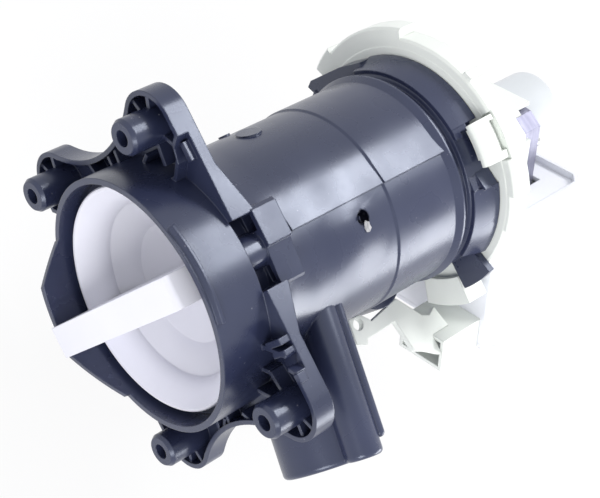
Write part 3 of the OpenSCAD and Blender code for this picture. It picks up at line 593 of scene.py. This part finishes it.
@dataclass(frozen=True)
class GateMark:
    """The torn gate on the body: a crater where the nub broke off, and a pale chip at its edge.

    Attributes:
        turn_deg: the nub's angle from the top of the body.
        along: its place along the pump axis.
        nub_top: its end's distance from the axis.
        crater: half the crater's size across, along and inwards.
        torn: the chip's finish.
        chip_turn_deg: the chip's angle from the top of the body.
        chip_along: its place along the pump axis.
        chip_radius: its distance from the axis.
        chip: half its size across, along and outwards.
        ragged: how much the lumps swell and shrink.
    """

    turn_deg: float = 10.4
    along: float = 63.5 * MM
    nub_top: float = 36.4 * MM
    crater: Triple = (2.45 * MM, 2.5 * MM, 2.6 * MM)
    torn: MouldedPlastic = MouldedPlastic(
        "torn_plastic", (0.36, 0.36, 0.38), (0.48, 0.48, 0.50), (0.55, 0.8), edge=0.1 * MM,
    )
    chip_turn_deg: float = 15.7
    chip_along: float = 63.9 * MM
    chip_radius: float = 35.5 * MM
    chip: Triple = (1.8 * MM, 1.35 * MM, 0.9 * MM)
    ragged: float = 0.3

    def lump(
        self, name: str, half: Triple, turn_deg: float, along: float, radius: float
    ) -> bpy.types.Object:
        """A rough lump on the round body.

        Args:
            name: the object's name.
            half: half its size across, along and outwards.
            turn_deg: its angle from the top.
            along: its place along the axis.
            radius: its distance from the axis.

        Returns:
            The object, with its mesh in place.
        """
        work = bmesh.new()
        bmesh.ops.create_icosphere(work, subdivisions=3, radius=1.0)
        turn = Matrix.Rotation(math.radians(turn_deg), 4, "Y")
        place = turn @ Matrix.Translation((0.0, along, radius))
        # each lump reads its own part of the noise
        start = Vector((along, radius, 0.0)) * 90.0
        for vert in work.verts:
            swell = 1.0 + self.ragged * noise.noise(vert.co * 1.9 + start)
            vert.co = place @ Vector(step * size * swell for step, size in zip(vert.co, half))
        mesh = bpy.data.meshes.new(name)
        work.to_mesh(mesh)
        work.free()
        lump = bpy.data.objects.new(name, mesh)
        bpy.context.scene.collection.objects.link(lump)
        return lump

    def cut(self, piece: bpy.types.Object) -> None:
        """Cuts the crater into the housing's skin.

        Args:
            piece: the skin.
        """
        lump = self.lump("gate_crater", self.crater, self.turn_deg, self.along, self.nub_top)
        cut = piece.modifiers.new("gate", "BOOLEAN")
        cut.operation = "DIFFERENCE"
        cut.object = lump
        seen = piece.evaluated_get(bpy.context.evaluated_depsgraph_get())
        mesh = bpy.data.meshes.new_from_object(seen)
        piece.modifiers.remove(cut)
        mesh.name = piece.name
        piece.data = mesh
        bpy.data.objects.remove(lump)

    def build(self) -> None:
        """Makes the chip."""
        chip = self.lump("gate_chip", self.chip, self.chip_turn_deg, self.chip_along, self.chip_radius)
        chip.data.materials.append(self.torn.build())
        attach(chip, Body.HOUSING.value)


GATE = GateMark()


@dataclass
class Skin:
    """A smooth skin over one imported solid: merged, shaded round where it is round."""

    node: str
    piece: str
    body: Body
    slot: Slot
    sharp_deg: float = 28.0
    gate: GateMark | None = None

    def build(self, finishes: Finishes) -> bpy.types.Object:
        """Makes the skin and lets it stand for the solid.

        Args:
            finishes: the materials.

        Returns:
            The new piece.
        """
        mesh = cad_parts[self.node].data.copy()
        mesh.name = self.piece
        work = bmesh.new()
        work.from_mesh(mesh)
        bmesh.ops.remove_doubles(work, verts=work.verts, dist=SAME_POINT)
        bmesh.ops.dissolve_degenerate(work, edges=work.edges, dist=1e-7)
        work.to_mesh(mesh)
        work.free()
        if mesh.attributes.get("custom_normal"):
            mesh.attributes.remove(mesh.attributes["custom_normal"])
        piece = bpy.data.objects.new(self.piece, mesh)
        bpy.context.scene.collection.objects.link(piece)
        if self.gate:
            self.gate.cut(piece)
            mesh = piece.data
        mesh.shade_smooth()
        mesh.set_sharp_from_angle(angle=math.radians(self.sharp_deg))
        mesh.materials.clear()
        mesh.materials.append(finishes.made[self.slot])
        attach(piece, self.body.value)
        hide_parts(self.node)
        LOG.info("%s: skin over %s, %d faces", self.piece, self.node, len(mesh.polygons))
        return piece


class GeometryTree:
    """A Geometry Nodes tree with named inputs, run once and then turned into a plain mesh."""

    def __init__(self, name: str) -> None:
        """Starts the tree.

        Args:
            name: the tree's name.
        """
        self.tree = bpy.data.node_groups.new(name, "GeometryNodeTree")
        self.tree.interface.new_socket("Geometry", in_out="INPUT", socket_type="NodeSocketGeometry")
        self.tree.interface.new_socket("Geometry", in_out="OUTPUT", socket_type="NodeSocketGeometry")
        self.enter = self.tree.nodes.new("NodeGroupInput")
        self.leave = self.tree.nodes.new("NodeGroupOutput")
        self.values: dict[str, object] = {}

    def size(self, name: str, kind: str, value: object) -> None:
        """Adds one named input.

        Args:
            name: its name.
            kind: its socket type.
            value: the value that the piece uses.
        """
        socket = self.tree.interface.new_socket(name, in_out="INPUT", socket_type=kind)
        self.values[socket.identifier] = value

    def add(self, kind: str, **settings: object) -> bpy.types.Node:
        """Adds one node.

        Args:
            kind: the node's type name.
            settings: attributes to set on it.

        Returns:
            The new node.
        """
        node = self.tree.nodes.new(kind)
        for key, value in settings.items():
            setattr(node, key, value)
        return node

    def link(self, source: Socket, target: Socket) -> None:
        """Joins two sockets.

        Args:
            source: an output.
            target: an input.
        """
        self.tree.links.new(source, target)

    def close(self, geometry: Socket, material: bpy.types.Material) -> None:
        """Ends the tree in Realize Instances and Set Material.

        Args:
            geometry: the geometry that the tree has made.
            material: its finish.
        """
        real = self.add("GeometryNodeRealizeInstances")
        dress = self.add("GeometryNodeSetMaterial")
        dress.inputs["Material"].default_value = material
        self.link(geometry, real.inputs["Geometry"])
        self.link(real.outputs["Geometry"], dress.inputs["Geometry"])
        self.link(dress.outputs["Geometry"], self.leave.inputs["Geometry"])

    def run(self, mesh: bpy.types.Mesh, piece: str, place: Matrix) -> bpy.types.Object:
        """Runs the tree on a mesh and keeps the result as a plain mesh.

        Args:
            mesh: the mesh that it starts from.
            piece: the new piece's name.
            place: where the result stands in the part's frame.

        Returns:
            The new piece, at the origin.
        """
        carrier = bpy.data.objects.new(piece + "_carrier", mesh)
        bpy.context.scene.collection.objects.link(carrier)
        modifier = carrier.modifiers.new("tree", "NODES")
        modifier.node_group = self.tree
        for identifier, value in self.values.items():
            modifier[identifier] = value
        graph = bpy.context.evaluated_depsgraph_get()
        plain = bpy.data.meshes.new_from_object(carrier.evaluated_get(graph), depsgraph=graph)
        carrier.modifiers.remove(modifier)
        bpy.data.objects.remove(carrier)
        plain.transform(place)
        plain.name = piece
        result = bpy.data.objects.new(piece, plain)
        bpy.context.scene.collection.objects.link(result)
        return result


@dataclass
class Windings:
    """Two coils of copper wire on the legs of the core, made turn by turn.

    Attributes:
        turn_deg: the motor's turn about the pump axis.
        first: where the first turn lies, along the leg.
        last: where the last turn lies.
        wire: from one turn to the next.
        middle_n: the coil's middle, across the leg.
        width_n: the coil's width.
        middle_y: its middle along the pump axis.
        depth_y: its depth along the pump axis.
        layers: how many layers of wire are made.
        corner: the outer layer's corner radius.
    """

    turn_deg: float = 43.0
    first: float = 19.1 * MM
    last: float = 48.3 * MM
    wire: float = 0.9 * MM
    middle_n: float = 13.95 * MM
    width_n: float = 23.7 * MM
    middle_y: float = 153.0 * MM
    depth_y: float = 36.2 * MM
    layers: int = 4
    corner: float = 5.5 * MM

    def tree(self, material: bpy.types.Material) -> GeometryTree:
        """Makes the tree that winds one coil.

        Args:
            material: the wire's finish.

        Returns:
            The tree.
        """
        tree = GeometryTree("coil_turns")
        turns = int((self.last - self.first) / self.wire)
        tree.size("Turns", "NodeSocketInt", turns)
        tree.size("Pitch", "NodeSocketFloat", self.wire)
        tree.size("Wire", "NodeSocketFloat", self.wire * 0.49)
        row = tree.add("GeometryNodeMeshLine")
        offset = tree.add("ShaderNodeCombineXYZ")
        tree.link(tree.enter.outputs["Turns"], row.inputs["Count"])
        tree.link(tree.enter.outputs["Pitch"], offset.inputs["X"])
        tree.link(offset.outputs["Vector"], row.inputs["Offset"])
        thick = tree.add("GeometryNodeCurvePrimitiveCircle")
        thick.inputs["Resolution"].default_value = 8
        tree.link(tree.enter.outputs["Wire"], thick.inputs["Radius"])
        joined = tree.add("GeometryNodeJoinGeometry")
        for layer in range(self.layers):
            loop = tree.add("GeometryNodeCurvePrimitiveQuadrilateral")
            loop.inputs["Width"].default_value = self.width_n - 2 * layer * self.wire
            loop.inputs["Height"].default_value = self.depth_y - 2 * layer * self.wire
            soft = tree.add("GeometryNodeFilletCurve", mode="POLY")
            soft.inputs["Radius"].default_value = self.corner - layer * self.wire * 0.5
            soft.inputs["Count"].default_value = 5
            tube = tree.add("GeometryNodeCurveToMesh")
            turned = tree.add("GeometryNodeTransform")
            turned.inputs["Rotation"].default_value = (math.pi / 2, 0.0, math.pi / 2)
            copies = tree.add("GeometryNodeInstanceOnPoints")
            tree.link(loop.outputs["Curve"], soft.inputs["Curve"])
            tree.link(soft.outputs["Curve"], tube.inputs["Curve"])
            tree.link(thick.outputs["Curve"], tube.inputs["Profile Curve"])
            tree.link(tube.outputs["Mesh"], turned.inputs["Geometry"])
            tree.link(row.outputs["Mesh"], copies.inputs["Points"])
            tree.link(turned.outputs["Geometry"], copies.inputs["Instance"])
            tree.link(copies.outputs["Instances"], joined.inputs["Geometry"])
        tree.close(joined.outputs["Geometry"], material)
        return tree

    def build(self, finishes: Finishes) -> None:
        """Winds both coils and lets them stand for the plain solids.

        Args:
            finishes: the materials.
        """
        turn = Matrix.Rotation(math.radians(self.turn_deg), 4, "Y")
        for side, node in ((1, "upper_winding"), (-1, "lower_winding")):
            place = turn @ Matrix.Translation((self.first, self.middle_y, side * self.middle_n))
            tree = self.tree(finishes.made[Slot.COPPER])
            coil = tree.run(bpy.data.meshes.new("start"), node + "_turns", place)
            coil.data.shade_smooth()
            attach(coil, Body.HOUSING.value)
            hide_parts(node)
            LOG.info("%s: %d faces", coil.name, len(coil.data.polygons))


@dataclass
class LaminatedCore:
    """The core's sheets, stacked along the pump axis.

    Attributes:
        sheet: from one sheet to the next.
        metal: one sheet's own thickness.
        spans: the solids that are made of sheets.
    """

    sheet: float = 0.5 * MM
    metal: float = 0.47 * MM
    spans: tuple[str, ...] = ("stator_core", "core_yoke")

    def outline(self, node: str) -> tuple[bpy.types.Mesh, float, float]:
        """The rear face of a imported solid, brought to its front as one flat sheet.

        Args:
            node: the solid.

        Returns:
            The sheet, and the solid's front and rear along the pump axis.
        """
        low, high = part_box(node)
        work = bmesh.new()
        work.from_mesh(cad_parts[node].data)
        bmesh.ops.remove_doubles(work, verts=work.verts, dist=SAME_POINT)
        rear = high.y - 1e-6
        rest = [f for f in work.faces if not all(v.co.y > rear for v in f.verts)]
        bmesh.ops.delete(work, geom=rest, context="FACES")
        bmesh.ops.translate(work, verts=work.verts, vec=(0, low.y - high.y, 0))
        mesh = bpy.data.meshes.new(node + "_sheet")
        work.to_mesh(mesh)
        work.free()
        return mesh, low.y, high.y

    def tree(self, count: int, material: bpy.types.Material) -> GeometryTree:
        """Makes the tree that stacks one sheet.

        Args:
            count: how many sheets.
            material: their finish.

        Returns:
            The tree.
        """
        tree = GeometryTree("sheet_stack")
        tree.size("Sheets", "NodeSocketInt", count)
        tree.size("Pitch", "NodeSocketFloat", self.sheet)
        tree.size("Metal", "NodeSocketFloat", self.metal)
        down = tree.add("ShaderNodeCombineXYZ")
        up = tree.add("ShaderNodeCombineXYZ")
        tree.link(tree.enter.outputs["Metal"], down.inputs["Y"])
        tree.link(tree.enter.outputs["Pitch"], up.inputs["Y"])
        thick = tree.add("GeometryNodeExtrudeMesh")
        thick.inputs["Individual"].default_value = False
        tree.link(tree.enter.outputs["Geometry"], thick.inputs["Mesh"])
        tree.link(down.outputs["Vector"], thick.inputs["Offset"])
        thick.inputs["Offset Scale"].default_value = 1.0
        back = tree.add("GeometryNodeFlipFaces")
        both = tree.add("GeometryNodeJoinGeometry")
        tree.link(tree.enter.outputs["Geometry"], back.inputs["Mesh"])
        tree.link(back.outputs["Mesh"], both.inputs["Geometry"])
        tree.link(thick.outputs["Mesh"], both.inputs["Geometry"])
        merge = tree.add("GeometryNodeMergeByDistance")
        merge.inputs["Distance"].default_value = 1e-6
        tree.link(both.outputs["Geometry"], merge.inputs["Geometry"])
        row = tree.add("GeometryNodeMeshLine")
        tree.link(tree.enter.outputs["Sheets"], row.inputs["Count"])
        tree.link(up.outputs["Vector"], row.inputs["Offset"])
        copies = tree.add("GeometryNodeInstanceOnPoints")
        tree.link(row.outputs["Mesh"], copies.inputs["Points"])
        tree.link(merge.outputs["Geometry"], copies.inputs["Instance"])
        tree.close(copies.outputs["Instances"], material)
        return tree

    def build(self, finishes: Finishes) -> None:
        """Stacks both parts of the core and lets them stand for the solids.

        Args:
            finishes: the materials.
        """
        for node in self.spans:
            mesh, front, rear = self.outline(node)
            count = round((rear - front) / self.sheet)
            tree = self.tree(count, finishes.made[Slot.LAMINATION])
            stack = tree.run(mesh, node + "_sheets", Matrix.Identity(4))
            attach(stack, Body.HOUSING.value)
            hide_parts(node)
            LOG.info("%s: %d sheets, %d faces", stack.name, count, len(stack.data.polygons))


@dataclass
class FilterEnd:
    """The moulded housing and the filter that screws into it."""

    skins: tuple[Skin, ...] = (
        Skin("filter_housing", "filter_housing_skin", Body.HOUSING, Slot.NAVY, gate=GATE),
        Skin("filter_cap", "filter_cap_skin", Body.FILTER, Slot.CAP),
        Skin("filter_basket", "filter_basket_skin", Body.FILTER, Slot.CAP),
        Skin("impeller", "impeller_skin", Body.IMPELLER, Slot.CAP),
    )

    def build(self, finishes: Finishes) -> None:
        """Makes the pieces.

        Args:
            finishes: the materials.
        """
        for skin in self.skins:
            skin.build(finishes)
        GATE.build()


@dataclass
class MotorEnd:
    """The cover ring, the catch, the rotor can, the coil housing and what hangs on them."""

    skins: tuple[Skin, ...] = (
        Skin("pump_cover", "pump_cover_skin", Body.HOUSING, Slot.MOTOR),
        Skin("lock_catch", "lock_catch_skin", Body.CATCH, Slot.MOTOR),
        Skin("rotor_can", "rotor_can_skin", Body.HOUSING, Slot.CAN),
        Skin("coil_housing", "coil_housing_skin", Body.HOUSING, Slot.BOX),
        Skin("coil_lid", "coil_lid_skin", Body.HOUSING, Slot.BOX),
        Skin("connector_shroud", "plug_socket_skin", Body.HOUSING, Slot.MOTOR),
        Skin("cable_bracket", "cable_bracket_skin", Body.HOUSING, Slot.MOTOR),
    )
    windings: Windings = field(default_factory=Windings)
    core: LaminatedCore = field(default_factory=LaminatedCore)

    def build(self, finishes: Finishes) -> None:
        """Makes the pieces.

        Args:
            finishes: the materials.
        """
        for skin in self.skins:
            skin.build(finishes)
        self.windings.build(finishes)
        self.core.build(finishes)


@dataclass
class InnerPieces:
    """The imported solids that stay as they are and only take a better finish."""

    slots: dict[Slot, tuple[str, ...]] = field(
        default_factory=lambda: {
            Slot.RUBBER: (
                "cap_seal", "cover_seal", "dog_bumper", "front_bearing_mount", "rear_bearing_mount",
            ),
            Slot.STEEL: (
                "drive_dog", "rotor_shaft", "core_rivets", "thermal_cutout", "terminal_blades",
                "motor_screws",
            ),
            Slot.FERRITE: ("rotor_magnet",),
            Slot.BRONZE: ("thrust_washers", "front_bearing", "rear_bearing"),
            Slot.CAP: ("rotor_core",),
            Slot.MOTOR: ("upper_bobbin", "lower_bobbin"),
        }
    )

    def build(self, finishes: Finishes) -> None:
        """Gives each solid its finish.

        Args:
            finishes: the materials.
        """
        for slot, names in self.slots.items():
            for name in names:
                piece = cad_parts[name]
                for place in piece.material_slots:
                    place.material = finishes.made[slot]
                LOG.info("%s: finish %s", name, slot.value)


@dataclass(frozen=True)
class SoftBox:
    """One large soft lamp.

    Attributes:
        name: its name.
        aim: the point that it looks at.
        towards: the way from there to the lamp.
        distance: how far away it hangs.
        long_side: the way that its long side runs.
        length: its long side.
        width: its short side.
        power: its power in watts.
        colour: its colour.
    """

    name: str
    aim: Triple
    towards: Triple
    distance: float
    long_side: Triple
    length: float
    width: float
    power: float
    colour: Triple = (1.0, 1.0, 1.0)

    def build(self) -> None:
        """Hangs the lamp, its long side along long_side."""
        data = bpy.data.lights.new(self.name, "AREA")
        data.shape = "RECTANGLE"
        data.size = self.length
        data.size_y = self.width
        data.energy = self.power
        data.color = self.colour
        lamp = bpy.data.objects.new(self.name, data)
        bpy.context.scene.collection.objects.link(lamp)
        back = Vector(self.towards).normalized()
        side = (Vector(self.long_side) - Vector(self.long_side).dot(back) * back).normalized()
        turned = Matrix((side, back.cross(side), back)).transposed().to_4x4()
        turned.translation = Vector(self.aim) + self.distance * back
        lamp.matrix_world = turned
        lamp.visible_camera = False


@dataclass
class Studio:
    """Camera, lamps, white surroundings and a pale floor.

    Attributes:
        right: the way that the picture's right side lies.
        down: the way that its lower side lies.
        ahead: the way that the camera looks.
        eye: the camera's place.
        lens_mm: its focal length.
        sensor_mm: its sensor's width.
        ambient: the strength of the surroundings.
        floor_gap: how far the floor lies under the lowest point.
        floor_half: half the floor's side.
        floor_white: how much of the floor shows pure white.
        floor_rough: its roughness.
        floor_colour: its colour.
        light_colour: the colour of the surroundings.
        near: where the camera starts to see.
        far: where it stops.
        lamps: the soft lamps.
    """

    right: Triple = (0.44451, 0.71378, 0.54123)
    down: Triple = (0.89492, -0.38030, -0.23344)
    ahead: Triple = (0.03921, 0.58813, -0.80782)
    eye: Triple = (-0.01264, -0.24272, 0.41844)
    lens_mm: float = 95.5
    sensor_mm: float = 36.0
    ambient: float = 0.66
    floor_gap: float = 1.0 * MM
    floor_half: float = 4.0
    floor_white: float = 0.88
    floor_rough: float = 0.8
    floor_colour: Triple = (0.85, 0.85, 0.87)
    light_colour: Triple = (0.97, 0.98, 1.0)
    near: float = 0.01
    far: float = 20.0
    lamps: tuple[SoftBox, ...] = (
        SoftBox(
            "flank_lamp", aim=(0.0, 0.06, 0.03), towards=(-0.22, 0.61, 0.76), distance=1.0,
            long_side=(-0.975, 0.0, -0.22), length=0.58, width=0.22, power=6.8,
        ),
        SoftBox(
            "front_lamp", aim=(0.0, 0.03, 0.0), towards=(0.55, -0.72, 0.43), distance=1.0,
            long_side=(0.8, 0.6, 0.0), length=0.6, width=0.5, power=5.6,
        ),
        SoftBox(
            "side_lamp", aim=(0.0215, 0.065, 0.027), towards=(0.785, 0.61, 0.07), distance=0.36,
            long_side=(-0.61, 0.785, 0.0), length=0.24, width=0.15, power=0.75,
        ),
    )

    def camera(self) -> None:
        """Makes the camera at the photograph's place."""
        data = bpy.data.cameras.new("camera")
        data.lens = self.lens_mm
        data.sensor_width = self.sensor_mm
        data.clip_start = self.near
        data.clip_end = self.far
        camera = bpy.data.objects.new("camera", data)
        bpy.context.scene.collection.objects.link(camera)
        turned = Matrix((self.right, -Vector(self.down), -Vector(self.ahead))).transposed().to_4x4()
        turned.translation = Vector(self.eye)
        camera.matrix_world = turned
        bpy.context.scene.camera = camera

    def seen_white(self, tree: bpy.types.NodeTree) -> Socket:
        """One where a camera, glossy or transmission ray looks, else nought.

        Args:
            tree: the tree that asks.

        Returns:
            The value.
        """
        path = tree.nodes.new("ShaderNodeLightPath")
        total = path.outputs["Is Camera Ray"]
        for name in ("Is Glossy Ray", "Is Transmission Ray"):
            more = tree.nodes.new("ShaderNodeMath")
            more.operation = "MAXIMUM"
            tree.links.new(total, more.inputs[0])
            tree.links.new(path.outputs[name], more.inputs[1])
            total = more.outputs[0]
        return total

    def world(self) -> None:
        """White surroundings that light the object softly."""
        world = bpy.data.worlds.new("surroundings")
        bpy.context.scene.world = world
        world.use_nodes = True
        tree = world.node_tree
        light = tree.nodes["Background"]
        light.inputs["Color"].default_value = (*self.light_colour, 1)
        light.inputs["Strength"].default_value = self.ambient
        seen = tree.nodes.new("ShaderNodeBackground")
        seen.inputs["Color"].default_value = (1, 1, 1, 1)
        mix = tree.nodes.new("ShaderNodeMixShader")
        tree.links.new(self.seen_white(tree), mix.inputs["Fac"])
        tree.links.new(light.outputs["Background"], mix.inputs[1])
        tree.links.new(seen.outputs["Background"], mix.inputs[2])
        tree.links.new(mix.outputs["Shader"], tree.nodes["World Output"].inputs["Surface"])

    def floor(self) -> None:
        """A white floor just under the lowest point, which keeps a faint shadow."""
        low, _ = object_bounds()
        mesh = bpy.data.meshes.new("floor")
        work = bmesh.new()
        bmesh.ops.create_grid(work, x_segments=1, y_segments=1, size=self.floor_half)
        bmesh.ops.translate(work, verts=work.verts, vec=(0, 0, low.z - self.floor_gap))
        work.to_mesh(mesh)
        work.free()
        material = bpy.data.materials.new("white_floor")
        material.use_nodes = True
        tree = material.node_tree
        shader = tree.nodes["Principled BSDF"]
        shader.inputs["Base Color"].default_value = (*self.floor_colour, 1)
        shader.inputs["Roughness"].default_value = self.floor_rough
        bright = tree.nodes.new("ShaderNodeEmission")
        share = tree.nodes.new("ShaderNodeMath")
        share.operation = "MULTIPLY"
        share.inputs[1].default_value = self.floor_white
        mix = tree.nodes.new("ShaderNodeMixShader")
        tree.links.new(self.seen_white(tree), share.inputs[0])
        tree.links.new(share.outputs[0], mix.inputs["Fac"])
        tree.links.new(shader.outputs["BSDF"], mix.inputs[1])
        tree.links.new(bright.outputs["Emission"], mix.inputs[2])
        tree.links.new(mix.outputs["Shader"], tree.nodes["Material Output"].inputs["Surface"])
        mesh.materials.append(material)
        floor = bpy.data.objects.new("floor", mesh)
        bpy.context.scene.collection.objects.link(floor)
        floor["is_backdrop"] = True

    def build(self) -> None:
        """Sets up the whole studio."""
        self.camera()
        for lamp in self.lamps:
            lamp.build()
        self.world()
        self.floor()
        bpy.context.scene.view_settings.view_transform = "Standard"


def main() -> None:
    """Builds the pieces in order, then the studio."""
    logging.basicConfig(level=logging.INFO, format="%(name)s: %(message)s")
    finishes = Finishes()
    finishes.build()
    FilterEnd().build(finishes)
    MotorEnd().build(finishes)
    InnerPieces().build(finishes)
    Studio().build()


if __name__ == "__main__":
    main()
